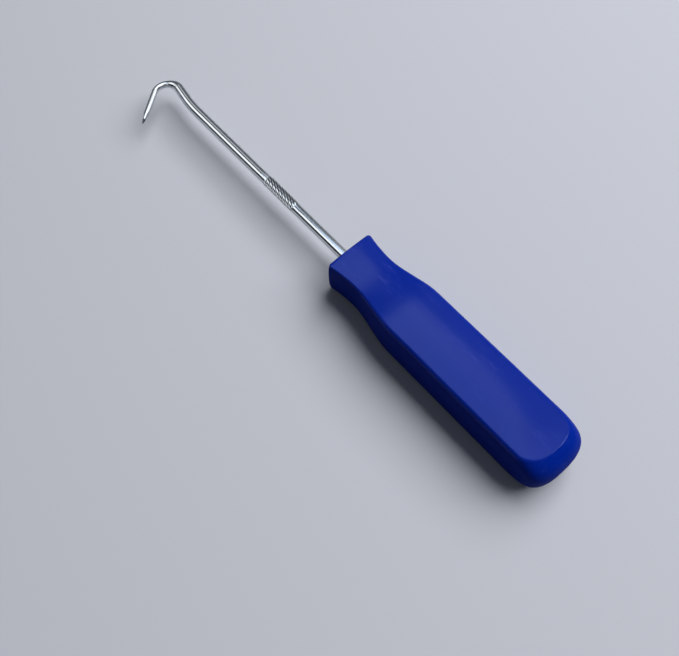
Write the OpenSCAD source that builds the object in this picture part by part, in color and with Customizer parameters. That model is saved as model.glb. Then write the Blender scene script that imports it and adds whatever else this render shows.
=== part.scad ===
// Hook tool for picking out seals and O-rings: a bent steel rod moulded into a plastic handle.
// The tool lies on the handle's flat underside. X runs towards the hook, Z is up, and the hook's
// point reaches out along +Y. The origin is the middle of the flat underside.

/* [Handle] */
// Length of the handle
handle_l = 76.8; // [66:0.2:120]
// Width of the grip
grip_w = 17.6; // [15:0.1:26]
// Thickness of the grip
grip_t = 13.4; // [12.5:0.1:20]
// Width of the waist
waist_w = 13.2; // [11:0.1:14.8]
// How much wider than the waist the front face is
front_flare = 2.2; // [0.4:0.1:4]
// Thickness of the waist and of the front face
front_t = 11.4; // [9:0.1:12.5]
// Length of the waist and the front together, where the handle is narrower than the grip
waist_l = 25; // [20:0.5:34]
// Distance from the front face back to the narrowest place
waist_back = 9; // [7:0.5:12]
// Length over which the butt is rounded, halfway up
butt_l = 5; // [4:0.5:10]
// Length over which the upper and lower faces are rounded at the butt
rim_l = 5; // [4:0.1:8]
// Rise of the upper face's middle over its edges
crown = 0.5; // [0:0.05:1]
// Length over which that rise begins at the butt
crown_run = 14; // [6:0.5:20]

/* [Handle edges] */
// Radius along the upper and lower edges of the grip
edge_r = 1.5; // [0.6:0.1:2]
// Radius along the upper and lower edges of the butt, in its middle
butt_edge_r = 0.5; // [0.2:0.05:1.5]
// Radius along the edges of the front face
front_edge_r = 0.5; // [0.2:0.05:0.6]
// Radius of the front face's upright edges
front_corner_r = 1.2; // [1.2:0.1:3]
// How far each side wall leans in from its middle to the edge radius
side_lean = 0.3; // [0.1:0.05:0.5]
// How far the butt leans in from its middle to the edge radius
butt_lean = 3.9; // [0.5:0.1:4.5]

/* [Rod] */
// Diameter of the rod
rod_d = 3; // [2:0.1:5]
// Reach of the rod from the front face to the outside of the hook
rod_reach = 82; // [60:1:150]
// Length of the plain rod between the front face and the knurl
plain_l = 21.5; // [5:0.5:30]
// Length of the tang inside the handle
tang_l = 45; // [25:1:55]

/* [Knurl] */
// Length of the knurled band
knurl_l = 12.4; // [4:0.2:20]
// Number of slanting ridges around the rod
ridge_count = 12; // [8:1:20]
// Height of a ridge's crest over the plain rod
ridge_rise = 0.08; // [0.02:0.01:0.2]
// Depth of a groove below the plain rod
groove_depth = 0.2; // [0.02:0.01:0.3]
// Share of each ridge that is flat on top
ridge_land = 0.45; // [0.2:0.05:0.6]
// Slant of the ridges from the rod's direction
ridge_slant = 30; // [10:1:45]
// Length over which the ridges fade out at each end
ridge_fade = 0.8; // [0.2:0.1:2]

/* [Hook] */
// Angle by which the rod leans away from the point before the hook
lean_angle = 9; // [2:0.5:20]
// Bend radius of the lean, at the rod's middle
lean_r = 40; // [15:1:60]
// Length of the straight between the lean and the hook
throat_l = 4.5; // [1:0.1:10]
// Angle of the hook's bend
hook_angle = 136; // [95:1:150]
// Bend radius of the hook, at the rod's middle
hook_r = 4; // [3:0.1:8]
// Length of the straight leg between the hook's bend and the point
leg_l = 7.8; // [4:0.1:16]
// Diameter of the thinned rod at the hook's outermost place
apex_d = 1.9; // [1.4:0.1:2.6]
// Angle of the bend by which the rod has thinned to that diameter
thin_angle = 74; // [30:1:95]
// Diameter of the leg where the point begins
leg_d = 1.75; // [0.8:0.05:2]
// Length of the point
point_l = 3.6; // [1.5:0.1:6]
// Diameter of the point's rounded end
point_d = 0.3; // [0.2:0.05:0.6]

/* [Tang] */
// Length of the flattened stretch that keeps the rod from turning
flat_l = 8; // [4:0.5:15]
// Width of the flattened stretch
flat_w = 4; // [3.2:0.1:6]
// Thickness of the flattened stretch
flat_t = 1.9; // [1.2:0.1:2.9]
// Length of the round end behind the flattened stretch
flat_back = 12; // [4:0.5:18]

/* [Hidden] */

handle_colour = "#1B2C9B";
rod_colour = "#C9CDD2";
$fn = 64;

// Places along X, and the height of the rod's middle
grip_l = handle_l - waist_l;
butt_x = -(grip_l - butt_l)/2 - butt_l;
ramp_x = butt_x + grip_l;
front_x = butt_x + handle_l;
waist_x = front_x - waist_back;
knurl_x = front_x + plain_l;
axis_z = grip_t/2;

function mix(a, b, t) = a + (b - a)*t;
function smooth(t) = t*t*(3 - 2*t);
function ramp(a, b, x) = smooth(min(max((x - a)/(b - a), 0), 1));
function unit(v) = v/norm(v);

// Faces of a skin over rings of equally many points, each ring an outline across the solid
function ring_faces(rings, points) = [
    for (i = [0:rings - 2])
        for (j = [0:points - 1])
            let (a = i*points + j, b = i*points + (j + 1) % points)
            each [[a, a + points, b], [b, a + points, b + points]]
];
// Fan from an end ring to one point at its middle
function fan_faces(ring_start, points, middle, facing) = [
    for (j = [0:points - 1])
        let (a = ring_start + j, b = ring_start + (j + 1) % points)
        facing ? [a, b, middle] : [b, a, middle]
];
// Closed solid through flat rings, each with its first and last one fanned shut
module skin(rings, start_middle, end_middle) {
    rows = len(rings);
    columns = len(rings[0]);
    total = rows*columns;
    polyhedron(
        points = concat([for (ring = rings) each ring], [start_middle, end_middle]),
        faces = concat(
            ring_faces(rows, columns),
            fan_faces(0, columns, total, true),
            fan_faces(total - columns, columns, total + 1, false)
        ),
        convexity = 6
    );
}

// Handle. Its outline seen from above runs from the butt along one side to the front face, in
// stations. The upper and lower faces and the wall between them are drawn at each station.
butt_power = 2/2.5;
rim_power = 2/2.3;
belly_power = 3;
butt_steps = 16;
side_steps = 26;
corner_steps = 5;
edge_steps = 4;
wall_steps = 4;
face_steps = 6;

// From the waist the sides flare on an arc, which the front corners meet without a kink
flare_r = (pow(waist_back, 2) + pow(front_flare/2, 2))/front_flare;
flare_angle = asin((waist_back - front_corner_r)/(flare_r + front_corner_r));
corner_x = front_x - front_corner_r;
corner_y = waist_w/2 + flare_r - (flare_r + front_corner_r)*cos(flare_angle);
side_x0 = butt_x + butt_l;
side_x1 = waist_x + flare_r*sin(flare_angle);

function half_width(x) =
    x < waist_x
    ? mix(grip_w, waist_w, ramp(ramp_x, waist_x, x))/2
    : waist_w/2 + flare_r - sqrt(pow(flare_r, 2) - pow(x - waist_x, 2));
function half_thickness(x) = mix(grip_t, front_t, ramp(ramp_x, waist_x, x))/2;

outline = concat(
    [for (i = [1:butt_steps])
        let (a = 90*i/butt_steps)
        [side_x0 - butt_l*pow(cos(a), butt_power), grip_w/2*pow(sin(a), butt_power)]],
    [for (i = [1:side_steps])
        let (x = mix(side_x0, side_x1, i/side_steps))
        [x, half_width(x)]],
    [for (i = [1:corner_steps])
        let (a = mix(-flare_angle, 90, i/corner_steps))
        [corner_x + front_corner_r*sin(a), corner_y + front_corner_r*cos(a)]]
);
stations = len(outline);

// Direction out of the wall at a station
function wall_normal(i) =
    let (
        before = i == 0 ? [butt_x, 0] : outline[i - 1],
        after = i == stations - 1 ? [front_x, 0] : outline[i + 1],
        along = unit(after - before)
    )
    i == stations - 1 ? [1, 0] : [-along.y, along.x];
function butt_turn(i) = min((i + 1)/butt_steps, 1);
function edge_radius(i) =
    butt_turn(i) < 1
    ? mix(butt_edge_r, edge_r, sin(90*butt_turn(i)))
    : mix(edge_r, front_edge_r, ramp(ramp_x, corner_x, outline[i].x));

// Rim of the upper face at each station, and the direction out of it. At the butt it is rounder
// than the outline, so the stations slant forward there and straighten out along the grip.
rim_x0 = butt_x + butt_lean + butt_edge_r + rim_l;
rim_w = grip_w - 2*(side_lean + edge_r);
function rim_slant(i) = (rim_x0 - side_x0)*(1 - ramp(side_x0, ramp_x, outline[i].x));
function rim_place(i) =
    let (a = 90*butt_turn(i))
    a < 90
    ? [rim_x0 - rim_l*pow(cos(a), rim_power), rim_w/2*pow(sin(a), rim_power)]
    : outline[i] - (side_lean + edge_radius(i))*wall_normal(i) + [rim_slant(i), 0];
function rim_normal(i) =
    let (a = 90*butt_turn(i))
    a < 90
    ? unit([-pow(cos(a), 2 - rim_power)/rim_l, 2*pow(sin(a), 2 - rim_power)/rim_w])
    : wall_normal(i);

// Section of the wall at a station, from the upper face's rim down to the middle: the edge
// radius, then the wall, which bellies out to the outline. Heights are over the handle's middle.
function upper_section(i) =
    let (
        r = edge_radius(i),
        top = half_thickness(outline[i].x),
        inner = rim_place(i),
        out = rim_normal(i),
        lean = max((outline[i] - inner)*out - r, 0),
        a0 = atan(belly_power*lean/(top - r)),
        brink = inner + r*cos(a0)*out,
        base = top - r + r*sin(a0)
    )
    concat(
        [for (j = [0:edge_steps])
            let (a = mix(90, a0, j/edge_steps), p = inner + r*cos(a)*out)
            [p.x, p.y, top - r + r*sin(a)]],
        [for (j = [1:wall_steps])
            let (h = 1 - j/wall_steps, p = mix(outline[i], brink, pow(h, belly_power)))
            [p.x, p.y, base*h]]
    );
function wall_section(i) =
    let (upper = upper_section(i), n = len(upper))
    concat(upper, [for (j = [n - 2:-1:0]) [upper[j].x, upper[j].y, -upper[j].z]]);
sections = [for (i = [0:stations - 1]) wall_section(i)];

levels = 2*(edge_steps + wall_steps) + 1;
last = levels - 1;

// Rise of the upper face's middle line at a station. It begins at the butt's rim.
function crown_rise(i) = crown*ramp(rim_x0 - rim_l, rim_x0 - rim_l + crown_run, sections[i][0].x);

// A point of the handle at a station, a level of its section and a place across, from the +Y
// side at 0 to the -Y side at 1. The upper edge's levels follow the crown of the upper face.
function handle_point(i, k, across) =
    let (
        p = sections[i][k],
        rise = k < edge_steps ? crown_rise(i)*(1 - k/edge_steps) : 0,
        u = 1 - 2*across
    )
    [p.x, p.y*u, axis_z + p.z + rise*(1 - u*u)];

function handle_ring(i) = concat(
    [for (m = [0:face_steps]) handle_point(i, 0, m/face_steps)],
    [for (k = [1:last - 1]) handle_point(i, k, 1)],
    [for (m = [face_steps:-1:0]) handle_point(i, last, m/face_steps)],
    [for (k = [last - 1:-1:1]) handle_point(i, k, 0)]
);
ring_points = 2*(face_steps + last);

// The butt and the front face are closed by a grid across the handle. Its rim is the end ring.
function rim_index(k, m) =
    k == 0 ? m :
    k == last ? face_steps + last + (face_steps - m) :
    m == face_steps ? face_steps + k :
    m == 0 ? ring_points - k : undef;
inner_columns = face_steps - 1;
function cap_points(i) = [
    for (k = [1:last - 1])
        for (m = [1:inner_columns])
            handle_point(i, k, m/face_steps)
];
function cap_index(ring_start, inner_start, k, m) =
    let (rim = rim_index(k, m))
    is_undef(rim) ? inner_start + (k - 1)*inner_columns + m - 1 : ring_start + rim;
function cap_faces(ring_start, inner_start, facing) = [
    for (k = [0:last - 1])
        for (m = [0:face_steps - 1])
            let (
                a = cap_index(ring_start, inner_start, k, m),
                b = cap_index(ring_start, inner_start, k, m + 1),
                c = cap_index(ring_start, inner_start, k + 1, m + 1),
                d = cap_index(ring_start, inner_start, k + 1, m)
            )
            each facing ? [[a, b, c], [a, c, d]] : [[a, c, b], [a, d, c]]
];

module handle_blank() {
    ring_total = stations*ring_points;
    inner_total = inner_columns*(last - 1);
    polyhedron(
        points = concat(
            [for (i = [0:stations - 1]) each handle_ring(i)],
            cap_points(0),
            cap_points(stations - 1)
        ),
        faces = concat(
            ring_faces(stations, ring_points),
            cap_faces(0, ring_total, true),
            cap_faces((stations - 1)*ring_points, ring_total + inner_total, false)
        ),
        convexity = 4
    );
}

// Straight round stretch of the rod
module round_stretch(x0, x1) {
    translate([x0, 0, axis_z])
        rotate([0, 90, 0])
            cylinder(d = rod_d, h = x1 - x0);
}

// Tang: round, with one stretch pressed flat. The handle is moulded around it.
flat_x0 = front_x - tang_l + flat_back;
flat_x1 = flat_x0 + flat_l;
module tang(front_end) {
    round_stretch(front_x - tang_l, flat_x0);
    translate([flat_x0, 0, axis_z])
        rotate([90, 0, 90])
            linear_extrude(flat_l)
                flat_section();
    round_stretch(flat_x1, front_end);
}
module flat_section() {
    square([flat_w - flat_t, flat_t], center = true);
    for (side = [-1, 1])
        translate([side*(flat_w - flat_t)/2, 0])
            circle(d = flat_t);
}

module handle() {
    color(handle_colour)
        difference() {
            handle_blank();
            tang(front_x + rod_d);
        }
}

// A shaped stretch meets the plain rod a hair under its surface, and its end runs in as a low cone
joint_step = 0.01;
joint_depth = 0.3;

// Knurl: slanting ridges, flat on top, that stand a little proud of the rod and fade out at
// both ends, with V-shaped grooves between them
ridge_points = 6;
knurl_steps = 24;
ridge_twist = tan(ridge_slant)/(rod_d/2)*180/PI;
function ridge_height(turn) =
    let (t = turn - floor(turn))
    mix(-groove_depth, ridge_rise, min(abs(2*t - 1)/(1 - ridge_land), 1));
function knurl_radius(s, a) =
    let (fade = min(s/ridge_fade, (knurl_l - s)/ridge_fade, 1))
    rod_d/2 - joint_step + fade*ridge_height((a - ridge_twist*s)*ridge_count/360);
module knurl() {
    count = ridge_count*ridge_points;
    skin(
        [for (i = [0:knurl_steps])
            let (s = knurl_l*i/knurl_steps)
            [for (j = [0:count - 1])
                let (a = 360*j/count, r = knurl_radius(s, a))
                [knurl_x + s, r*cos(a), axis_z + r*sin(a)]]],
        [knurl_x - joint_depth, 0, axis_z],
        [knurl_x + knurl_l + joint_depth, 0, axis_z]
    );
}

// Hook, drawn along the rod's middle line: lean, throat, hook bend, leg and point. Each stretch
// ends at a length along that line.
function heading_vector(a) = [cos(a), sin(a)];
function left_vector(a) = [-sin(a), cos(a)];
hook_run = throat_l*cos(lean_angle) + hook_r*(1 + sin(lean_angle));
lean_x = front_x + rod_reach - apex_d/2 - hook_run - lean_r*sin(lean_angle);
lean_centre = [lean_x, -lean_r];
throat_start = lean_centre + lean_r*left_vector(-lean_angle);
hook_centre = throat_start + throat_l*heading_vector(-lean_angle) + hook_r*left_vector(-lean_angle);
leg_heading = hook_angle - lean_angle;
leg_start = hook_centre - hook_r*left_vector(leg_heading);

lean_s = lean_r*lean_angle*PI/180;
throat_s = lean_s + throat_l;
thin_s = throat_s + hook_r*thin_angle*PI/180;
bend_s = throat_s + hook_r*hook_angle*PI/180;
leg_s = bend_s + leg_l;
tip_s = leg_s + point_l;

function heading(s) =
    s < 0 ? 0 :
    s < lean_s ? -lean_angle*s/lean_s :
    s < throat_s ? -lean_angle :
    s < bend_s ? mix(-lean_angle, leg_heading, (s - throat_s)/(bend_s - throat_s)) :
    leg_heading;
function place(s) =
    s < 0 ? [lean_x + s, 0] :
    s < lean_s ? lean_centre + lean_r*left_vector(heading(s)) :
    s < throat_s ? throat_start + (s - lean_s)*heading_vector(-lean_angle) :
    s < bend_s ? hook_centre - hook_r*left_vector(heading(s)) :
    leg_start + (s - bend_s)*heading_vector(leg_heading);
function hook_radius(s) =
    s < thin_s ? mix(rod_d - 2*joint_step, apex_d, ramp(throat_s, thin_s, s))/2 :
    s < leg_s ? mix(apex_d, leg_d, (s - thin_s)/(leg_s - thin_s))/2 :
    s < tip_s ? mix(leg_d, point_d, (s - leg_s)/point_l)/2 :
    sqrt(max(pow(point_d/2, 2) - pow(s - tip_s, 2), 0));

lean_steps = 6;
throat_steps = 4;
bend_steps = 24;
leg_steps = 4;
point_steps = 3;
tip_angles = [0, 35, 65];
hook_stations = concat(
    [for (i = [0:lean_steps - 1]) lean_s*i/lean_steps],
    [for (i = [0:throat_steps - 1]) mix(lean_s, throat_s, i/throat_steps)],
    [for (i = [0:bend_steps - 1]) mix(throat_s, bend_s, i/bend_steps)],
    [for (i = [0:leg_steps - 1]) mix(bend_s, leg_s, i/leg_steps)],
    [for (i = [0:point_steps - 1]) mix(leg_s, tip_s, i/point_steps)],
    [for (a = tip_angles) tip_s + point_d/2*sin(a)]
);
hook_sides = 32;
function hook_point(s, across, up) =
    let (p = place(s) + across*left_vector(heading(s)))
    [p.x, p.y, axis_z + up];
module hook() {
    skin(
        [for (s = hook_stations)
            [for (j = [0:hook_sides - 1])
                let (a = 360*j/hook_sides, r = hook_radius(s))
                hook_point(s, r*cos(a), r*sin(a))]],
        hook_point(-joint_depth, 0, 0),
        hook_point(tip_s + point_d/2, 0, 0)
    );
}

module hook_rod() {
    color(rod_colour) {
        tang(knurl_x);
        knurl();
        round_stretch(knurl_x + knurl_l, lean_x);
        hook();
    }
}

handle();
hook_rod();
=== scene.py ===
# %% [markdown]
# # A hook tool for seals and O-rings
# This lesson dresses a small hand tool: a bent steel rod that is moulded into a plastic handle.
# The construction model is loaded first as a fixed frame. It says where everything is, and the
# two pieces made here stand in for its two solids with a finer mesh and a real finish. Sizes are
# written in millimetres, as on a drawing, and turned to Blender's metres with MM.

# %% Load the frame
from math import asin, atan, cos, pi, radians, sin, sqrt, tan

import bmesh
import bpy
from mathutils import Matrix, Vector


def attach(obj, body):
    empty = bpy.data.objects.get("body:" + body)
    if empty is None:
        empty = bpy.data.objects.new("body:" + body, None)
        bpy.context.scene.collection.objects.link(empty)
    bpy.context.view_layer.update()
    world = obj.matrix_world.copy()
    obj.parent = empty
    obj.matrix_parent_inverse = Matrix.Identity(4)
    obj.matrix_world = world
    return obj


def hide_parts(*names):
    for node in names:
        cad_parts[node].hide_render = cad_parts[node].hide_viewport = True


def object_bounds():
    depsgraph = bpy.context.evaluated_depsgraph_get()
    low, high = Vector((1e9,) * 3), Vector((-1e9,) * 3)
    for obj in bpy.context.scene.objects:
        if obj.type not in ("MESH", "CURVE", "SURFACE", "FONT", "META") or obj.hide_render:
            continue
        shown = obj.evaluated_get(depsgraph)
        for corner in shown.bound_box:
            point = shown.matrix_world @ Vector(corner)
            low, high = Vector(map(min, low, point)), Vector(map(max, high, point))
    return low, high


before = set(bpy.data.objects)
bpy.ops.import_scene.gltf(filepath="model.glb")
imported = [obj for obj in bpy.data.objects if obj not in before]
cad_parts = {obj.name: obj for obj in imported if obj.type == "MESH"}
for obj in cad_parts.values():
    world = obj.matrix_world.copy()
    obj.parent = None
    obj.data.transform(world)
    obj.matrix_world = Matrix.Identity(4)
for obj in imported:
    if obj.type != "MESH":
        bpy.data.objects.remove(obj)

MM = 0.001
cad_box = [[round(value, 6) for value in corner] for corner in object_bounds()]
print("solids:", sorted(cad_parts), "box in metres:", cad_box)

# %% [markdown]
# ## The camera
# The photograph looks down on the tool from above its butt, so the rod runs away to the upper
# left. Two vanishing points give that view: the long edges of the handle meet in one, and the
# edges across it in the other. The two directions are square to each other on the real tool,
# and that gives the focal length too, so no guessing of the lens is needed.

# %% Directions from two vanishing points, in pixels
IMAGE_SIZE = Vector((679, 656))
ALONG_MEETS = Vector((-1363.1, -1416.1)) - IMAGE_SIZE / 2
ACROSS_MEETS = Vector((2733.0, -1598.0)) - IMAGE_SIZE / 2

focal = sqrt(-ALONG_MEETS.dot(ACROSS_MEETS))
along = Vector((*ALONG_MEETS, focal)).normalized()
across = Vector((*ACROSS_MEETS, focal)).normalized()
down = along.cross(across).normalized()
print("focal length", round(focal, 1), "px")

# %% The camera in its place
CAMERA_PLACE = Vector((-36.17, 72.36, 202.7)) * MM
SENSOR, NEAR_CLIP = 36.0, 0.01

# Rows are the picture's right, up and backward directions, written in the tool's own X, Y and Z
turn = Matrix([
    [along.x, -across.x, -down.x],
    [-along.y, across.y, down.y],
    [-along.z, across.z, down.z],
]).transposed()

camera_data = bpy.data.cameras.new("camera")
camera_data.sensor_width = SENSOR
camera_data.lens = focal / IMAGE_SIZE.x * SENSOR
camera_data.clip_start = NEAR_CLIP
camera = bpy.data.objects.new("camera", camera_data)
camera.matrix_world = Matrix.Translation(CAMERA_PLACE) @ turn.to_4x4()
bpy.context.scene.collection.objects.link(camera)
bpy.context.scene.camera = camera
print("lens", round(camera_data.lens, 2), "mm")

# %% [markdown]
# ## Helpers for both pieces
# Both pieces are drawn as closed loops, one after the other. The first loop is laid down, and
# each next one is pulled out of it with the extrude operator and set where its points belong.
# That is how a modeller pulls a tube out of a ring, and it keeps the mesh closed at every step.

# %% Helpers for numbers
def clamp(value, low, high):
    return min(max(value, low), high)


def mix(a, b, t):
    return a + (b - a) * t


def ramp(a, b, x):
    """A smooth step: 0 up to a, 1 from b on, and an S-shaped rise between them."""
    t = clamp((x - a) / (b - a), 0, 1)
    return t * t * (3 - 2 * t)


print("a quarter of the way up a ramp:", ramp(0, 1, 0.25))

# %% Helpers for loops
def loop_edges(loop):
    """The edges between the neighbours of a closed loop."""
    return [next(edge for edge in a.link_edges if edge.other_vert(a) == b)
            for a, b in zip(loop, loop[1:] + loop[:1])]


def pull_loop(bm, loop, places):
    """Extrude a closed loop of edges and set the new loop on its places, in millimetres."""
    made = bmesh.ops.extrude_edge_only(bm, edges=loop_edges(loop))["geom"]
    fresh = {v for v in made if isinstance(v, bmesh.types.BMVert)}
    pulled = [next(e.other_vert(v) for e in v.link_edges if e.other_vert(v) in fresh)
              for v in loop]
    for vert, place in zip(pulled, places):
        vert.co = Vector(place) * MM
    return pulled


# %% Helper for a finished piece
SHARP_ANGLE = radians(40)
MERGE = 1e-7


def add_piece(name, bm, node):
    """Turn a bmesh into a smooth piece that stands in for a solid of the frame."""
    bmesh.ops.remove_doubles(bm, verts=bm.verts[:], dist=MERGE)
    bmesh.ops.recalc_face_normals(bm, faces=bm.faces[:])
    for face in bm.faces:
        face.smooth = True
    for edge in bm.edges:
        edge.smooth = edge.calc_face_angle(0) < SHARP_ANGLE
    loose = sum(not edge.is_manifold for edge in bm.edges)
    volume = round(bm.calc_volume() / MM ** 3, 1)
    print(name, len(bm.faces), "faces,", loose, "open edges,", volume, "mm3")
    mesh = bpy.data.meshes.new(name)
    bm.to_mesh(mesh)
    bm.free()
    piece = bpy.data.objects.new(name, mesh)
    bpy.context.scene.collection.objects.link(piece)
    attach(piece, "root")
    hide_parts(node)
    return piece


# %% [markdown]
# ## The handle's outline
# Seen from above the handle is a flat bar with a rounded butt, a waist, and a front that flares
# out again to small corners. The sizes are the construction model's own. The outline is walked
# from the butt along one side to the front, in stations, and the other side mirrors it.

# %% Sizes of the outline, in millimetres
# A butt power of 1 would be half an ellipse. A lower one makes the butt a little squarer.
HANDLE_L, GRIP_W, GRIP_T = 76.8, 17.6, 13.4
WAIST_W, WAIST_L, WAIST_BACK = 13.2, 25, 9
FRONT_T, FRONT_FLARE, FRONT_CORNER_R = 11.4, 2.2, 1.2
BUTT_L, BUTT_POWER = 5, 2 / 2.5

GRIP_L = HANDLE_L - WAIST_L
BUTT_X = -(GRIP_L - BUTT_L) / 2 - BUTT_L
RAMP_X = BUTT_X + GRIP_L
FRONT_X = BUTT_X + HANDLE_L
WAIST_X = FRONT_X - WAIST_BACK
AXIS_Z = GRIP_T / 2

# From the waist the sides flare on an arc that meets the front corners without a kink
FLARE_R = (WAIST_BACK ** 2 + (FRONT_FLARE / 2) ** 2) / FRONT_FLARE
FLARE_ANGLE = asin((WAIST_BACK - FRONT_CORNER_R) / (FLARE_R + FRONT_CORNER_R))
CORNER_X = FRONT_X - FRONT_CORNER_R
CORNER_Y = WAIST_W / 2 + FLARE_R - (FLARE_R + FRONT_CORNER_R) * cos(FLARE_ANGLE)
SIDE_X0 = BUTT_X + BUTT_L
SIDE_X1 = WAIST_X + FLARE_R * sin(FLARE_ANGLE)
print("handle from x =", round(BUTT_X, 2), "to", round(FRONT_X, 2), "mm")

# %% Outline of one side
BUTT_STEPS, SIDE_STEPS, CORNER_STEPS = 32, 64, 10


def half_width(x):
    if x < WAIST_X:
        return mix(GRIP_W, WAIST_W, ramp(RAMP_X, WAIST_X, x)) / 2
    return WAIST_W / 2 + FLARE_R - sqrt(FLARE_R ** 2 - (x - WAIST_X) ** 2)


def half_thickness(x):
    return mix(GRIP_T, FRONT_T, ramp(RAMP_X, WAIST_X, x)) / 2


outline = []
for i in range(1, BUTT_STEPS + 1):
    a = pi / 2 * i / BUTT_STEPS
    x = SIDE_X0 - BUTT_L * cos(a) ** BUTT_POWER if i < BUTT_STEPS else SIDE_X0
    outline.append(Vector((x, GRIP_W / 2 * sin(a) ** BUTT_POWER)))
for i in range(1, SIDE_STEPS + 1):
    x = mix(SIDE_X0, SIDE_X1, i / SIDE_STEPS)
    outline.append(Vector((x, half_width(x))))
for i in range(1, CORNER_STEPS + 1):
    a = mix(-FLARE_ANGLE, pi / 2, i / CORNER_STEPS)
    outline.append(Vector((CORNER_X + FRONT_CORNER_R * sin(a),
                           CORNER_Y + FRONT_CORNER_R * cos(a))))

# The first station is the butt's very end, which may not pass the construction model's box
outline[0].x = max(outline[0].x, cad_box[0][0] / MM)
STATIONS = len(outline)
print(STATIONS, "stations on a side")

# %% [markdown]
# ## The handle's rim and wall
# The upper face ends in a rim. Along the grip the rim simply lies inside the outline, but at the
# butt it is rounder and lies further in, because the butt leans back under it. Between rim and
# outline the wall has two parts: the edge radius, crisp at the butt and soft along the sides, and
# a wall that bellies out to the middle of the handle's height.

# %% Rim of the upper face
RIM_L, RIM_POWER = 5, 2 / 2.3
SIDE_LEAN, BUTT_LEAN = 0.3, 3.9
EDGE_R, BUTT_EDGE_R, FRONT_EDGE_R = 1.5, 0.5, 0.5
RIM_X0 = BUTT_X + BUTT_LEAN + BUTT_EDGE_R + RIM_L
RIM_W = GRIP_W - 2 * (SIDE_LEAN + EDGE_R)


def butt_angle(i):
    """A station's angle round the butt. It stays at a right angle all along the side."""
    return pi / 2 * min((i + 1) / BUTT_STEPS, 1)


def edge_radius(i):
    if butt_angle(i) < pi / 2:
        return mix(BUTT_EDGE_R, EDGE_R, sin(butt_angle(i)))
    return mix(EDGE_R, FRONT_EDGE_R, ramp(RAMP_X, CORNER_X, outline[i].x))


def wall_normal(i):
    """The direction that points out of the outline at a station."""
    if i == STATIONS - 1:
        return Vector((1, 0))
    before = outline[i - 1] if i else Vector((BUTT_X, 0))
    run = (outline[i + 1] - before).normalized()
    return Vector((-run.y, run.x))


def rim_place(i):
    a = butt_angle(i)
    if a < pi / 2:
        return Vector((RIM_X0 - RIM_L * cos(a) ** RIM_POWER, RIM_W / 2 * sin(a) ** RIM_POWER))
    slant = (RIM_X0 - SIDE_X0) * (1 - ramp(SIDE_X0, RAMP_X, outline[i].x))
    return outline[i] - (SIDE_LEAN + edge_radius(i)) * wall_normal(i) + Vector((slant, 0))


def rim_normal(i):
    """The direction that points out of the rim at a station."""
    a = butt_angle(i)
    if a < pi / 2:
        return Vector((-cos(a) ** (2 - RIM_POWER) / RIM_L,
                       2 * sin(a) ** (2 - RIM_POWER) / RIM_W)).normalized()
    return wall_normal(i)


print("rim from x =", round(RIM_X0 - RIM_L, 2), "mm,", round(RIM_W, 2), "mm wide")

# %% Wall at each station
# A belly power of 1 would be a flat wall. At 3 the wall is upright in the middle of its height.
EDGE_STEPS, WALL_STEPS = 8, 8
BELLY_POWER = 3
LEVELS = EDGE_STEPS + WALL_STEPS + 1


def upper_wall(i):
    """Points from the rim down to the middle of the height, with heights over that middle."""
    radius, top = edge_radius(i), half_thickness(outline[i].x)
    rim, out = rim_place(i), rim_normal(i)
    lean = max((outline[i] - rim).dot(out) - radius, 0)
    start = atan(BELLY_POWER * lean / (top - radius))
    brink = rim + radius * cos(start) * out
    brink_height = top - radius + radius * sin(start)
    points = []
    for j in range(EDGE_STEPS + 1):
        a = mix(pi / 2, start, j / EDGE_STEPS)
        points.append((*(rim + radius * cos(a) * out), top - radius + radius * sin(a)))
    for j in range(1, WALL_STEPS + 1):
        h = 1 - j / WALL_STEPS
        points.append((*mix(outline[i], brink, h ** BELLY_POWER), brink_height * h))
    return points


walls = [upper_wall(i) for i in range(STATIONS)]
print("rim at the butt", [round(v, 2) for v in walls[0][0]])

# %% [markdown]
# ## The handle as a mesh
# The upper face starts as a flat grid, with a row for each station. Its border is then pulled
# out and down, level by level, to the middle of the height. The mirror operator makes the lower
# half, and only then does the upper face get its gentle crown, because the real one rests on a
# flat underside. The faces below the rounded edge are marked for the duller plastic of the walls.

# %% Upper face as a grid
FACE_STEPS = 16


def spread(point, m):
    """A station's point carried across the handle, from the +Y side at 0 to the -Y side."""
    x, y, z = point
    return Vector((x, y * (1 - 2 * m / FACE_STEPS), z))


bm = bmesh.new()
bmesh.ops.create_grid(bm, x_segments=FACE_STEPS, y_segments=STATIONS - 1, size=1)
bm.verts.ensure_lookup_table()
grid = [[bm.verts[i * (FACE_STEPS + 1) + m] for m in range(FACE_STEPS + 1)]
        for i in range(STATIONS)]
for i, row in enumerate(grid):
    for m, vert in enumerate(row):
        vert.co = spread(walls[i][0], m) * MM
print("upper face:", len(bm.faces), "faces")

# %% Wall pulled out of the border
TOP, WALL = 0, 1


def border(level):
    """Places of a closed loop round the handle at a level of the wall."""
    sides = [[spread(walls[i][level], m) for i in range(STATIONS)] for m in (0, FACE_STEPS)]
    front = [spread(walls[-1][level], m) for m in range(1, FACE_STEPS)]
    butt = [spread(walls[0][level], m) for m in range(1, FACE_STEPS)]
    return sides[0] + front + sides[1][::-1] + butt[::-1]


loop = ([row[0] for row in grid] + grid[-1][1:-1]
        + [row[-1] for row in grid[::-1]] + grid[0][1:-1][::-1])
for level in range(1, EDGE_STEPS):
    loop = pull_loop(bm, loop, border(level))
top_faces = len(bm.faces)
for level in range(EDGE_STEPS, LEVELS):
    loop = pull_loop(bm, loop, border(level))
for i, face in enumerate(bm.faces):
    face.material_index = TOP if i < top_faces else WALL
print("upper half:", len(bm.faces), "faces, border of", len(loop), "points")

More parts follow.
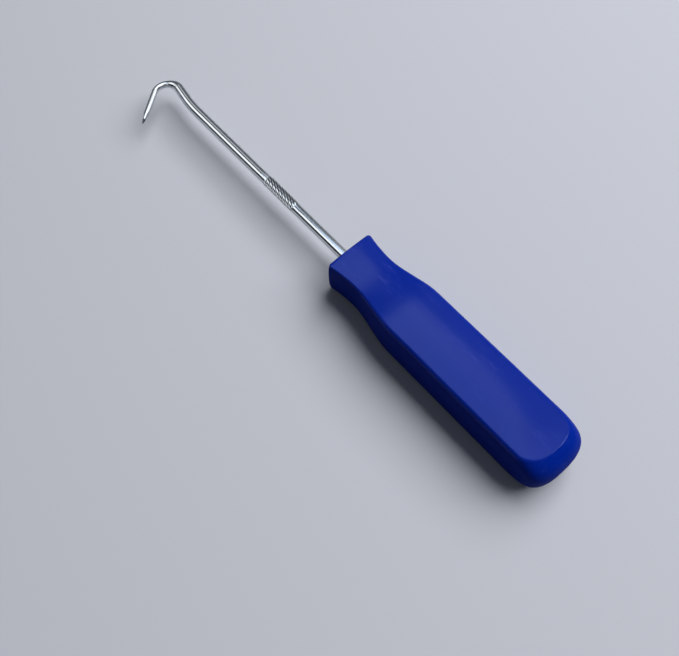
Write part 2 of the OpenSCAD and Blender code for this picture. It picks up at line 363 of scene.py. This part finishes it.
# %% Lower half and crown
CROWN, CROWN_RUN = 0.5, 14
MIRROR_MERGE = 1e-6
bmesh.ops.mirror(bm, geom=bm.verts[:] + bm.edges[:] + bm.faces[:], matrix=Matrix.Identity(4),
                 merge_dist=MIRROR_MERGE, axis="Z")


def crown_height(co):
    """Rise of the upper face and of its edge over a flat face, in metres."""
    x, y, z = co / MM
    station_rise = CROWN * ramp(RIM_X0 - RIM_L, RIM_X0 - RIM_L + CROWN_RUN, x)
    rim_y = next((wall[0][1] for wall in walls if wall[0][0] >= x), walls[-1][0][1])
    top = half_thickness(x)
    share = clamp((z - (top - FRONT_EDGE_R)) / FRONT_EDGE_R, 0, 1)
    return station_rise * max(1 - (y / rim_y) ** 2, 0) * share * MM


for vert in bm.verts:
    if vert.co.z > 0:
        vert.co.z += crown_height(vert.co)
bmesh.ops.translate(bm, verts=bm.verts[:], vec=(0, 0, AXIS_Z * MM))
handle = add_piece("handle_body", bm, "handle")

# %% [markdown]
# ## The hole for the rod
# On the real tool the plastic is moulded round the rod, so the hole fits it tightly. A drill the
# size of the rod is taken away from the handle's front with a Boolean, which leaves a clean round
# rim in a flat face. It only has to be as deep as an eye could follow.

# %% Hole in the front face, in millimetres
ROD_D = 3
HOLE_L, HOLE_SIDES = 8, 96
bm = bmesh.new()
bmesh.ops.create_cone(
    bm, cap_ends=True, segments=HOLE_SIDES, depth=2 * HOLE_L * MM,
    radius1=ROD_D / 2 * MM, radius2=ROD_D / 2 * MM,
    matrix=Matrix.Translation((FRONT_X * MM, 0, AXIS_Z * MM)) @ Matrix.Rotation(pi / 2, 4, "Y"))
drill_mesh = bpy.data.meshes.new("drill")
bm.to_mesh(drill_mesh)
bm.free()
drill = bpy.data.objects.new("drill", drill_mesh)
bpy.context.scene.collection.objects.link(drill)

cut = handle.modifiers.new("hole", "BOOLEAN")
cut.object, cut.operation, cut.solver = drill, "DIFFERENCE", "EXACT"
shown = handle.evaluated_get(bpy.context.evaluated_depsgraph_get())
drilled = bpy.data.meshes.new_from_object(shown)
handle.modifiers.clear()
handle.data = drilled
bpy.data.objects.remove(drill)
print("handle with its hole:", len(drilled.polygons), "faces")

# %% [markdown]
# ## The rod's line
# The rod is one steel wire. A ring of points is pulled along its middle line, and the ring's
# radius changes on the way: round in the handle, knurled for a short stretch, thinned through
# the hook's bend, and ground to a point. Pulling one ring keeps the surface unbroken, where
# joining a cylinder, a knurl and a hook would leave seams. The hook's line comes first. It leans
# outward on a wide arc, runs straight through the throat, turns back round the bend, and ends in
# the straight leg with its point. A place on it is given by s, the length of wire up to there.

# %% Line of the hook, in millimetres
ROD_REACH, APEX_D = 82, 1.9
LEAN_ANGLE, LEAN_R, THROAT_L = radians(9), 40, 4.5
HOOK_ANGLE, HOOK_R, LEG_L, POINT_L = radians(136), 4, 7.8, 3.6
HOOK_RUN = THROAT_L * cos(LEAN_ANGLE) + HOOK_R * (1 + sin(LEAN_ANGLE))
LEAN_X = FRONT_X + ROD_REACH - APEX_D / 2 - HOOK_RUN - LEAN_R * sin(LEAN_ANGLE)
LEG_HEADING = HOOK_ANGLE - LEAN_ANGLE


def ahead(a):
    return Vector((cos(a), sin(a)))


def leftward(a):
    return Vector((-sin(a), cos(a)))


LEAN_CENTRE = Vector((LEAN_X, -LEAN_R))
THROAT_START = LEAN_CENTRE + LEAN_R * leftward(-LEAN_ANGLE)
HOOK_CENTRE = THROAT_START + THROAT_L * ahead(-LEAN_ANGLE) + HOOK_R * leftward(-LEAN_ANGLE)
LEG_START = HOOK_CENTRE - HOOK_R * leftward(LEG_HEADING)
LEAN_S = LEAN_R * LEAN_ANGLE
THROAT_S = LEAN_S + THROAT_L
BEND_S = THROAT_S + HOOK_R * HOOK_ANGLE
LEG_S = BEND_S + LEG_L
TIP_S = LEG_S + POINT_L
print("hook from x =", round(LEAN_X, 2), "mm, with", round(TIP_S, 1), "mm of wire")

# %% Middle line of the hook
def heading(s):
    if s < LEAN_S:
        return -LEAN_ANGLE * max(s, 0) / LEAN_S
    if s < THROAT_S:
        return -LEAN_ANGLE
    return mix(-LEAN_ANGLE, LEG_HEADING, clamp((s - THROAT_S) / (BEND_S - THROAT_S), 0, 1))


def middle(s):
    if s < LEAN_S:
        return LEAN_CENTRE + LEAN_R * leftward(heading(s))
    if s < THROAT_S:
        return THROAT_START + (s - LEAN_S) * ahead(-LEAN_ANGLE)
    if s < BEND_S:
        return HOOK_CENTRE - HOOK_R * leftward(heading(s))
    return LEG_START + (s - BEND_S) * ahead(LEG_HEADING)


print("point at", [round(v, 2) for v in middle(TIP_S)], "mm")

# %% Thickness of the hook's wire
THIN_ANGLE, LEG_D, POINT_D, GRIND_L = radians(74), 1.75, 0.3, 1.5
THIN_S = THROAT_S + HOOK_R * THIN_ANGLE
LEG_SLOPE = (LEG_D - APEX_D) / 2 / (LEG_S - THIN_S)
POINT_SLOPE = (POINT_D - LEG_D) / 2 / POINT_L


def hook_radius(s):
    """Radius of the wire. The grinding wheel leaves no edge between the leg and the point."""
    leg = LEG_D / 2 + LEG_SLOPE * (s - LEG_S)
    if s < THIN_S:
        return mix(ROD_D, APEX_D, ramp(THROAT_S, THIN_S, s)) / 2
    if s < LEG_S - GRIND_L:
        return leg
    if s < LEG_S + GRIND_L:
        into = s - LEG_S + GRIND_L
        return leg + (POINT_SLOPE - LEG_SLOPE) * into ** 2 / (4 * GRIND_L)
    if s < TIP_S:
        return LEG_D / 2 + POINT_SLOPE * (s - LEG_S)
    return sqrt(max((POINT_D / 2) ** 2 - (s - TIP_S) ** 2, 0))


print("wire", [round(2 * hook_radius(s), 2) for s in (0, THIN_S, LEG_S, TIP_S)], "mm thick")

# %% [markdown]
# ## The rod's rings
# Each ring stands square to the middle line. In the handle the wire has been pressed flat for a
# stretch, so that it can't turn. The knurl is rolled into the wire and has slanted ridges, so its
# rings turn along with them: the mesh then follows each ridge instead of cutting across it.

# %% A ring of points
ROD_SIDES = 144


def ring(x, y, heading_angle, across_radius, up_radius, start=0):
    """Points round the wire, square to its heading. The radii are functions of the angle."""
    side = leftward(heading_angle)
    points = []
    for j in range(ROD_SIDES):
        a = start + 2 * pi * j / ROD_SIDES
        reach, rise = across_radius(a) * cos(a), up_radius(a) * sin(a)
        points.append((x + side.x * reach, y + side.y * reach, AXIS_Z + rise))
    return points


def round_ring(x, y, heading_angle, radius, start=0):
    return ring(x, y, heading_angle, lambda a: radius, lambda a: radius, start)


def steps(a, b, count):
    """Even places from a on, without b itself."""
    return [mix(a, b, i / count) for i in range(count)]


print("a step round the rod is", round(pi * ROD_D / ROD_SIDES, 3), "mm")

# %% Tang inside the handle, in millimetres
TANG_L, PLAIN_L = 45, 21.5
FLAT_BACK, FLAT_L, FLAT_RUN, FLAT_W, FLAT_T = 12, 8, 0.4, 4, 1.9
RUN_RINGS, FLAT_RINGS, TANG_RINGS = 4, 2, 12
FLAT_X0 = FRONT_X - TANG_L + FLAT_BACK
FLAT_X1 = FLAT_X0 + FLAT_L
KNURL_X = FRONT_X + PLAIN_L


def tang_ring(x):
    flat = min(ramp(FLAT_X0 - FLAT_RUN, FLAT_X0, x), 1 - ramp(FLAT_X1, FLAT_X1 + FLAT_RUN, x))
    return ring(x, 0, 0, lambda a: mix(ROD_D, FLAT_W, flat) / 2,
                lambda a: mix(ROD_D, FLAT_T, flat) / 2)


rings = [round_ring(FRONT_X - TANG_L, 0, 0, ROD_D / 2)]
rings += [tang_ring(x) for x in steps(FLAT_X0 - FLAT_RUN, FLAT_X0, RUN_RINGS)
          + steps(FLAT_X0, FLAT_X1, FLAT_RINGS) + steps(FLAT_X1, FLAT_X1 + FLAT_RUN, RUN_RINGS)]
rings += [round_ring(x, 0, 0, ROD_D / 2) for x in steps(FLAT_X1 + FLAT_RUN, KNURL_X, TANG_RINGS)]
print("pressed flat from x =", round(FLAT_X0, 2), "to", round(FLAT_X1, 2), "mm")

# %% Knurl and the plain stretch after it, in millimetres
KNURL_L, RIDGES, RIDGE_RISE, GROOVE_DEPTH = 12.4, 12, 0.08, 0.2
RIDGE_LAND, RIDGE_FADE = 0.45, 0.8
RIDGE_SLANT = radians(30)
KNURL_RINGS, SHANK_RINGS = 62, 8
KNURL_TWIST = tan(RIDGE_SLANT) / (ROD_D / 2)


def knurl_ring(s):
    """The ridges fade in and out at the ends, and have flat lands between rounded grooves."""
    fade = min(s / RIDGE_FADE, (KNURL_L - s) / RIDGE_FADE, 1)
    twist = KNURL_TWIST * s

    def radius(a):
        t = ((a - twist) * RIDGES / (2 * pi)) % 1
        rise = mix(-GROOVE_DEPTH, RIDGE_RISE, ramp(0, 1 - RIDGE_LAND, abs(2 * t - 1)))
        return ROD_D / 2 + fade * rise

    return ring(KNURL_X + s, 0, 0, radius, radius, twist)


turned = KNURL_TWIST * KNURL_L
rings += [knurl_ring(s) for s in steps(0, KNURL_L, KNURL_RINGS)]
rings += [round_ring(x, 0, 0, ROD_D / 2, turned)
          for x in steps(KNURL_X + KNURL_L, LEAN_X, SHANK_RINGS)]
print("knurl from x =", round(KNURL_X, 2), "to", round(KNURL_X + KNURL_L, 2), "mm")

# %% Rings of the hook
LEAN_RINGS, THROAT_RINGS, BEND_RINGS = 16, 6, 56
LEG_RINGS, GRIND_RINGS, POINT_RINGS = 8, 14, 10
TIP_ANGLES = (0, 20, 40, 60, 80)
hook_places = (steps(0, LEAN_S, LEAN_RINGS)
               + steps(LEAN_S, THROAT_S, THROAT_RINGS)
               + steps(THROAT_S, BEND_S, BEND_RINGS)
               + steps(BEND_S, LEG_S - GRIND_L, LEG_RINGS)
               + steps(LEG_S - GRIND_L, LEG_S + GRIND_L, GRIND_RINGS)
               + steps(LEG_S + GRIND_L, TIP_S, POINT_RINGS)
               + [TIP_S + POINT_D / 2 * sin(radians(a)) for a in TIP_ANGLES])
for s in hook_places:
    rings.append(round_ring(*middle(s), heading(s), hook_radius(s), turned))
print(len(rings), "rings of", ROD_SIDES, "points")

# %% The rod as a mesh
bm = bmesh.new()
bmesh.ops.create_circle(bm, segments=ROD_SIDES, radius=1)
bm.verts.ensure_lookup_table()
loop = list(bm.verts)
for vert, place in zip(loop, rings[0]):
    vert.co = Vector(place) * MM
bmesh.ops.contextual_create(bm, geom=loop_edges(loop))
for places in rings[1:]:
    loop = pull_loop(bm, loop, places)
bmesh.ops.contextual_create(bm, geom=loop_edges(loop))
print("rod:", len(bm.verts), "points,", len(bm.faces), "faces")

# %% [markdown]
# ## Where the plating is dark
# The knurl's grooves are darkened as painted shade, with some grime in them, and at the ground
# point the plating is gone and bare steel shows. Both follow the shape, so they are written to the
# points of the mesh, as an attribute from 0 for bright plating to 1 for the darkest tone, and the
# material reads it.

# %% Shade of each point
# Painted shade in the knurl's grooves, with some grime: how dark it gets at most
GROOVE_SHADE_AND_GRIME = 0.9
BARE_L, BARE_EDGE = 1.5, 0.2


def fade_out(s):
    """1 along the knurl and 0 at its two ends."""
    return ramp(0, RIDGE_FADE, s) * (1 - ramp(KNURL_L - RIDGE_FADE, KNURL_L, s))


tip = Vector((*middle(TIP_S), AXIS_Z)) * MM
shade = bm.verts.layers.float.new("shade")
for vert in bm.verts:
    s = vert.co.x / MM - KNURL_X
    if 0 < s < KNURL_L:
        depth = ROD_D / 2 - Vector((vert.co.y, vert.co.z - AXIS_Z * MM)).length / MM
        # Painted shade, with some grime: the deeper the point lies in a groove, the darker it is
        vert[shade] = GROOVE_SHADE_AND_GRIME * ramp(-RIDGE_RISE / 2, GROOVE_DEPTH / 3, depth) * fade_out(s)
    else:
        from_tip = (vert.co - tip).length / MM
        vert[shade] = 1 - ramp(BARE_L - BARE_EDGE, BARE_L + BARE_EDGE, from_tip)
rod = add_piece("hook_wire", bm, "hook_rod")

# %% [markdown]
# ## Helpers for materials
# Colours are written as on the web, in sRGB, and turned to the linear values that Blender
# shades with. One small function adds a node, sets its inputs and links it. An input is given by
# its name, with _ for a space, or by its number where a node has several of the same name: a Mix
# node's share is _0, its two numbers are _2 and _3, and its two colours _6 and _7.

# %% Material helpers
def linear(hex_colour):
    channels = [int(hex_colour[i:i + 2], 16) / 255 for i in (1, 3, 5)]
    return [c / 12.92 if c <= 0.04045 else ((c + 0.055) / 1.055) ** 2.4 for c in channels] + [1]


def add_node(tree, kind, settings=None, **inputs):
    """Add a node. An input's value is a number, a colour, or the socket of another node."""
    node = tree.nodes.new(kind)
    for name, value in (settings or {}).items():
        setattr(node, name, value)
    for name, value in inputs.items():
        socket = node.inputs[int(name[1:]) if name[1:].isdigit() else name.replace("_", " ")]
        if isinstance(value, bpy.types.NodeSocket):
            tree.links.new(value, socket)
        else:
            socket.default_value = value
    return node


def new_material(name):
    material = bpy.data.materials.new(name)
    material.use_nodes = True
    material.node_tree.nodes.clear()
    return material, material.node_tree


COLOUR, NUMBER = {"data_type": "RGBA"}, {"data_type": "FLOAT"}
print("the grey #808080 is", round(linear("#808080")[0], 3), "in linear light")

# %% [markdown]
# ## Moulded plastic
# The handle is injection-moulded in a deep blue, a tough plastic such as polypropylene. A mould
# gives it a smooth skin with a soft sheen, so a lamp shows in it as a milky patch with soft
# edges. Handling leaves faint scuffs, a little paler and duller than the skin, and more of them
# towards the front, where the fingers press. The side walls come out of the mould duller than
# the faces and mirror less, so they get a second plastic, which differs in its gloss alone.

# %% Scuffs of the handle
SCUFF_MM, SCUFF_STRETCH, SCUFF_TURN = 2.5, 0.25, 0.5
SCUFF_START, SCUFF_FULL = 0.56, 0.78
GRIP_WEAR, FRONT_WEAR = 0.35, 0.8


def scuffs(tree, place):
    """Patches of scuffed skin, drawn out along the handle, from 0 to 1."""
    stretch = add_node(tree, "ShaderNodeMapping", Vector=place,
                       Scale=(SCUFF_STRETCH, 1.0, 1.0), Rotation=(0, 0, SCUFF_TURN))
    noise = add_node(tree, "ShaderNodeTexNoise", Vector=stretch.outputs[0],
                     Scale=1 / (SCUFF_MM * MM), Detail=6.0, Roughness=0.7)
    return add_node(tree, "ShaderNodeMapRange", Value=noise.outputs[0],
                    From_Min=SCUFF_START, From_Max=SCUFF_FULL)


def wear(tree, place, scuffed):
    """How much the scuffs show, which grows from the grip to the waist."""
    along_handle = add_node(tree, "ShaderNodeSeparateXYZ", Vector=place)
    rubbed = add_node(tree, "ShaderNodeMapRange", Value=along_handle.outputs["X"],
                      From_Min=RAMP_X * MM, From_Max=WAIST_X * MM,
                      To_Min=GRIP_WEAR, To_Max=FRONT_WEAR)
    return add_node(tree, "ShaderNodeMath", {"operation": "MULTIPLY"},
                    _0=scuffed.outputs[0], _1=rubbed.outputs[0])


print("scuffs are about", SCUFF_MM, "mm wide and", SCUFF_MM / SCUFF_STRETCH, "mm long")

# %% Sheen of the handle
SKIN_ROUGH, SCUFF_ROUGH, WALL_ROUGH = 0.18, 0.34, 0.6
STEEP, FLAT = 0.3, 0.9


def sheen(tree, scuffed):
    """Roughness: low on the flat faces, higher in the scuffs, and high on the steep walls."""
    facing = add_node(tree, "ShaderNodeSeparateXYZ",
                      Vector=add_node(tree, "ShaderNodeTexCoord").outputs["Normal"])
    upright = add_node(tree, "ShaderNodeMath", {"operation": "ABSOLUTE"},
                       _0=facing.outputs["Z"])
    polish = add_node(tree, "ShaderNodeMapRange", Value=upright.outputs[0],
                      From_Min=STEEP, From_Max=FLAT)
    face = add_node(tree, "ShaderNodeMapRange", Value=scuffed.outputs[0],
                    To_Min=SKIN_ROUGH, To_Max=SCUFF_ROUGH)
    return add_node(tree, "ShaderNodeMix", NUMBER, _0=polish.outputs[0],
                    _2=WALL_ROUGH, _3=face.outputs[0])


print("roughness", SKIN_ROUGH, "on the faces and", WALL_ROUGH, "on the walls")

# %% Plastic of the handle
# The mould's own grain is about 0.1 mm wide. It is drawn coarser, so that it shows at all.
GRAIN_MM, GRAIN_STRENGTH, GRAIN_DEPTH = 0.35, 0.15, 0.02
CLOUD_MM = 14
PLASTIC_IOR, FACE_GLOSS, WALL_GLOSS = 1.49, 0.28, 0.06
DEEP_BLUE, LIGHT_BLUE, WORN_BLUE = "#002392", "#03299B", "#3A48B0"


def plastic(name, gloss):
    material, tree = new_material(name)
    place = add_node(tree, "ShaderNodeTexCoord").outputs["Object"]
    scuffed = scuffs(tree, place)
    cloud = add_node(tree, "ShaderNodeTexNoise", Vector=place,
                     Scale=1 / (CLOUD_MM * MM), Detail=3.0)
    blue = add_node(tree, "ShaderNodeMix", COLOUR, _0=cloud.outputs[0],
                    _6=linear(DEEP_BLUE), _7=linear(LIGHT_BLUE))
    worn = add_node(tree, "ShaderNodeMix", COLOUR, _0=wear(tree, place, scuffed).outputs[0],
                    _6=blue.outputs[2], _7=linear(WORN_BLUE))
    grain = add_node(tree, "ShaderNodeTexNoise", Vector=place,
                     Scale=1 / (GRAIN_MM * MM), Detail=2.0)
    bump = add_node(tree, "ShaderNodeBump", Height=grain.outputs[0],
                    Strength=GRAIN_STRENGTH, Distance=GRAIN_DEPTH * MM)
    skin = add_node(tree, "ShaderNodeBsdfPrincipled", Base_Color=worn.outputs[2],
                    Roughness=sheen(tree, scuffed).outputs[0], IOR=PLASTIC_IOR,
                    Specular_IOR_Level=gloss, Normal=bump.outputs[0])
    add_node(tree, "ShaderNodeOutputMaterial", Surface=skin.outputs[0])
    print(name, "with", len(tree.nodes), "nodes")
    return material


# In the order of the numbers TOP and WALL that the handle's faces carry
handle.data.materials.append(plastic("moulded_polypropylene", FACE_GLOSS))
handle.data.materials.append(plastic("dull_polypropylene", WALL_GLOSS))

# %% [markdown]
# ## Plated steel
# The rod is drawn wire with a bright nickel plating. Drawing leaves fine lines along the wire,
# and the plating softens them, so reflections are sharp across the wire and a little smeared.
# A mist of fine dullness keeps it from looking like a mirror. Where the shade attribute is high,
# the metal is darker and rougher: in the knurl's grooves that is painted shade, with some grime,
# and on the point it is bare steel.

# %% Plating of the rod
# Real drawing lines are a few hundredths of a millimetre wide. They are drawn coarser, to show.
LINE_MM, LINE_STRETCH, LINE_STRENGTH, LINE_DEPTH = 0.12, 0.02, 0.2, 0.01
MIST_MM, CLEAR_ROUGH, MIST_ROUGH, DARK_ROUGH = 1.2, 0.10, 0.2, 0.5
# The last colour is painted shade, with some grime, in the knurl's grooves, and bare steel on the
# point
NICKEL, PALE_NICKEL, GROOVE_SHADE_AND_BARE_STEEL = "#C3C8CD", "#D0D4D9", "#45494E"

plating, tree = new_material("nickel_plated_steel")
place = add_node(tree, "ShaderNodeTexCoord").outputs["Object"]
dark = add_node(tree, "ShaderNodeAttribute", {"attribute_name": "shade"}).outputs["Fac"]
mist = add_node(tree, "ShaderNodeTexNoise", Vector=place,
                Scale=1 / (MIST_MM * MM), Detail=4.0)
tone = add_node(tree, "ShaderNodeMix", COLOUR, _0=mist.outputs[0],
                _6=linear(NICKEL), _7=linear(PALE_NICKEL))
# Darker where the shade attribute is high: painted shade in the grooves, bare steel at the point
tone = add_node(tree, "ShaderNodeMix", COLOUR, _0=dark, _6=tone.outputs[2],
                _7=linear(GROOVE_SHADE_AND_BARE_STEEL))
rough = add_node(tree, "ShaderNodeMapRange", Value=mist.outputs[0],
                 To_Min=CLEAR_ROUGH, To_Max=MIST_ROUGH)
rough = add_node(tree, "ShaderNodeMix", NUMBER, _0=dark, _2=rough.outputs[0], _3=DARK_ROUGH)
drawn = add_node(tree, "ShaderNodeMapping", Vector=place, Scale=(LINE_STRETCH, 1.0, 1.0))
lines = add_node(tree, "ShaderNodeTexNoise", Vector=drawn.outputs[0],
                 Scale=1 / (LINE_MM * MM), Detail=3.0)
bump = add_node(tree, "ShaderNodeBump", Height=lines.outputs[0],
                Strength=LINE_STRENGTH, Distance=LINE_DEPTH * MM)
metal = add_node(tree, "ShaderNodeBsdfPrincipled", Base_Color=tone.outputs[2], Metallic=1.0,
                 Roughness=rough.outputs[0], Normal=bump.outputs[0])
add_node(tree, "ShaderNodeOutputMaterial", Surface=metal.outputs[0])
rod.data.materials.append(plating)
print("plating with", len(tree.nodes), "nodes")

# %% [markdown]
# ## Floor
# The tool lies on a sheet of pale paper. The camera and the reflections see the paper in its own
# pale grey, and the light that bounces off it is darker, so that it doesn't wash out the walls of
# the handle. The sheet lies a hair below the tool, so the two surfaces never mix.

# %% Sheet of paper
FLOOR_HALF, FLOOR_DROP = 1.5, 0.02
PALE, BOUNCED = "#CBCED7", "#74767B"
bm = bmesh.new()
bmesh.ops.create_grid(bm, x_segments=1, y_segments=1, size=FLOOR_HALF)
mesh = bpy.data.meshes.new("floor")
bm.to_mesh(mesh)
bm.free()
floor = bpy.data.objects.new("floor", mesh)
floor.location.z = -FLOOR_DROP * MM
bpy.context.scene.collection.objects.link(floor)

paper, tree = new_material("white_paper")
path = add_node(tree, "ShaderNodeLightPath")
seen = add_node(tree, "ShaderNodeMath", {"operation": "MAXIMUM"},
                _0=path.outputs["Is Camera Ray"], _1=path.outputs["Is Glossy Ray"])
seen = add_node(tree, "ShaderNodeMath", {"operation": "MAXIMUM"},
                _0=seen.outputs[0], _1=path.outputs["Is Transmission Ray"])
tone = add_node(tree, "ShaderNodeMix", COLOUR, _0=seen.outputs[0],
                _6=linear(BOUNCED), _7=linear(PALE))
sheet = add_node(tree, "ShaderNodeBsdfDiffuse", Color=tone.outputs[2])
add_node(tree, "ShaderNodeOutputMaterial", Surface=sheet.outputs[0])
floor.data.materials.append(paper)
print("floor", 2 * FLOOR_HALF, "m wide")

# %% [markdown]
# ## Lamp and cards
# A product photographer lights a shiny tool with one soft lamp and a few white cards. The lamp
# lights the plastic and casts the soft shadow, and the cards are what the tool mirrors. Here the
# two jobs are kept apart: the lamp isn't mirrored, and the cards are seen in reflections alone.
# A card may also belong to one piece, so that it can be placed without touching the other.

# %% Helpers for lamps
def add_lamp(name, place, target, size, radiance, diffuse=True, glossy=True, only=None,
             colour="#FFFFFF"):
    """A rectangular lamp that faces its target, its first side along X as far as it can be.

    It is given by how bright its face is. Blender wants its power, which is that brightness
    times its area times pi.
    """
    place, target = Vector(place), Vector(target)
    back = (place - target).normalized()
    side = (Vector((1, 0, 0)) - back * back.x).normalized()
    lamp = bpy.data.lights.new(name, "AREA")
    lamp.shape = "RECTANGLE"
    lamp.size, lamp.size_y = size
    lamp.energy = radiance * size[0] * size[1] * pi
    lamp.color = linear(colour)[:3]
    holder = bpy.data.objects.new(name, lamp)
    turn = Matrix([side, back.cross(side), back]).transposed()
    holder.matrix_world = Matrix.Translation(place) @ turn.to_4x4()
    holder.visible_camera = False
    holder.visible_diffuse = diffuse
    holder.visible_glossy = glossy
    if only:
        group = bpy.data.collections.new(name + "_lights")
        group.objects.link(only)
        holder.light_linking.receiver_collection = group
    bpy.context.scene.collection.objects.link(holder)


def add_card(name, place, target, size, radiance, only=None, colour="#FFFFFF"):
    """A board that is only seen in reflections, by every piece or by one alone."""
    add_lamp(name, place, target, size, radiance, diffuse=False, only=only, colour=colour)


def over(x_range, y_range, height):
    """Place, target and size of a lamp that lies flat over a stretch of X and Y."""
    x, y = sum(x_range) / 2, sum(y_range) / 2
    return (x, y, height), (x, y, 0), (x_range[1] - x_range[0], y_range[1] - y_range[0])


# The one lamp: wide, high and on the right, with its place and size in metres
add_lamp("soft", (-0.1, -0.7, 0.9), (0, 0, 0), (1.3, 1.0), 4.25, glossy=False)
print("soft lamp of", round(bpy.data.lights["soft"].energy, 1), "W")

# %% [markdown]
# ## What the handle mirrors
# A pale sky over the tool gives the upper face its milky haze. It is brightest towards the butt,
# and a faint strip more lies on the left, towards the waist. The crease where the upper face
# meets the butt is rounded, so it mirrors a place of its own: a small bright card stands there,
# and the crease draws it out to a thin pale line.

# %% Cards for the handle
SKY = "#CCE3FF"
BUTT_CREASE = Vector((-0.0238, -0.0015, 0.0133))
TO_GLINT = Vector((-0.25, -0.24, 0.35))
add_card("ceiling", *over((0.1, 0.43), (-0.42, 0.25), 0.8), 1.5, colour=SKY)
add_card("ceiling_end", *over((-0.03, 0.1), (-0.3, 0.25), 0.8), 1.9, colour=SKY)
add_card("ceiling_left", *over((0.18, 0.36), (-0.3, 0.2), 0.75), 0.5, handle, SKY)
add_card("glint", BUTT_CREASE + TO_GLINT, BUTT_CREASE, (0.12, 0.18), 7.0, handle, SKY)
print("glint", round(TO_GLINT.length, 2), "m from the crease")

# %% [markdown]
# ## What the rod mirrors
# A thin round bar mirrors a whole fan of directions, so each card becomes a line along it. The
# window is the white line on the shank, and the panel the grey one beside it. The hook points
# elsewhere and mirrors what stands far behind the handle and high over it, so its three cards are
# far away, where the shank hardly mirrors them: the wall is for the leg, a wide one overhead for
# the bend, and the crown for the top of the bend.

# %% Cards for the rod
ROD_MIDDLE = Vector((0.08, 0, 0.007))
TO_WINDOW, TO_PANEL = Vector((0.575, 0.475, 0.731)), Vector((0.57, -0.345, 0.745))
add_card("window", ROD_MIDDLE + TO_WINDOW, ROD_MIDDLE, (0.6, 0.56), 1.6, rod)
add_card("panel", ROD_MIDDLE + TO_PANEL, ROD_MIDDLE, (0.3, 0.3), 0.6, rod)
print("window", round(TO_WINDOW.length, 2), "m away, panel", round(TO_PANEL.length, 2), "m")

# %% Cards for the hook
HOOK_MIDDLE = Vector((0.125, 0.003, 0.007))
LEG_AXIS = Vector((*ahead(LEG_HEADING), 0))
WALL_FAR, WALL_TILT = 3, -14
TO_CROWN = Vector((-0.45, 1.86, 2.22))


def mirrored(place, axis, tilt):
    """Where a thin round bar with this axis mirrors the camera, turned about the bar by a tilt."""
    sight = (CAMERA_PLACE - place).normalized()
    along_bar = axis * sight.dot(axis)
    return Matrix.Rotation(radians(tilt), 3, axis) @ (sight - along_bar) - along_bar


to_wall = WALL_FAR * mirrored(HOOK_MIDDLE, LEG_AXIS, WALL_TILT)
add_card("wall", HOOK_MIDDLE + to_wall, HOOK_MIDDLE, (2.6, 3.4), 1.5, rod)
add_card("hook", *over((-2.8, 0.9), (-1.2, 0.6), 2.5), 1.5, rod)
add_card("crown", HOOK_MIDDLE + TO_CROWN, HOOK_MIDDLE, (1.3, 1.2), 1.4, rod)

# %% [markdown]
# ## The room
# What no card covers is a dim, bluish room. It is dimmest far out on the +Y side, which the rod
# mirrors as its dark edge. The light that the room sheds on plastic and paper is set apart, so
# that it only opens up the shadows a little.

# %% World
ROOM = "#E6EDF8"
ROOM_LEVEL, EDGE_LEVEL, SHED_LEVEL = 0.18, 0.05, 0.09
EDGE_START, EDGE_FULL = 0.55, 0.75
world = bpy.data.worlds.new("world")
bpy.context.scene.world = world
world.use_nodes = True
tree = world.node_tree
background = tree.nodes["Background"]
direction = add_node(tree, "ShaderNodeTexCoord").outputs["Generated"]
sides = add_node(tree, "ShaderNodeSeparateXYZ", Vector=direction)
level = add_node(tree, "ShaderNodeMapRange", Value=sides.outputs["Y"], From_Min=EDGE_START,
                 From_Max=EDGE_FULL, To_Min=ROOM_LEVEL, To_Max=EDGE_LEVEL)
path = add_node(tree, "ShaderNodeLightPath")
level = add_node(tree, "ShaderNodeMix", NUMBER, _0=path.outputs["Is Diffuse Ray"],
                 _2=level.outputs[0], _3=SHED_LEVEL)
tree.links.new(level.outputs[0], background.inputs["Strength"])
background.inputs["Color"].default_value = linear(ROOM)
bpy.context.scene.view_settings.view_transform = "Standard"
print("world with", len(tree.nodes), "nodes")
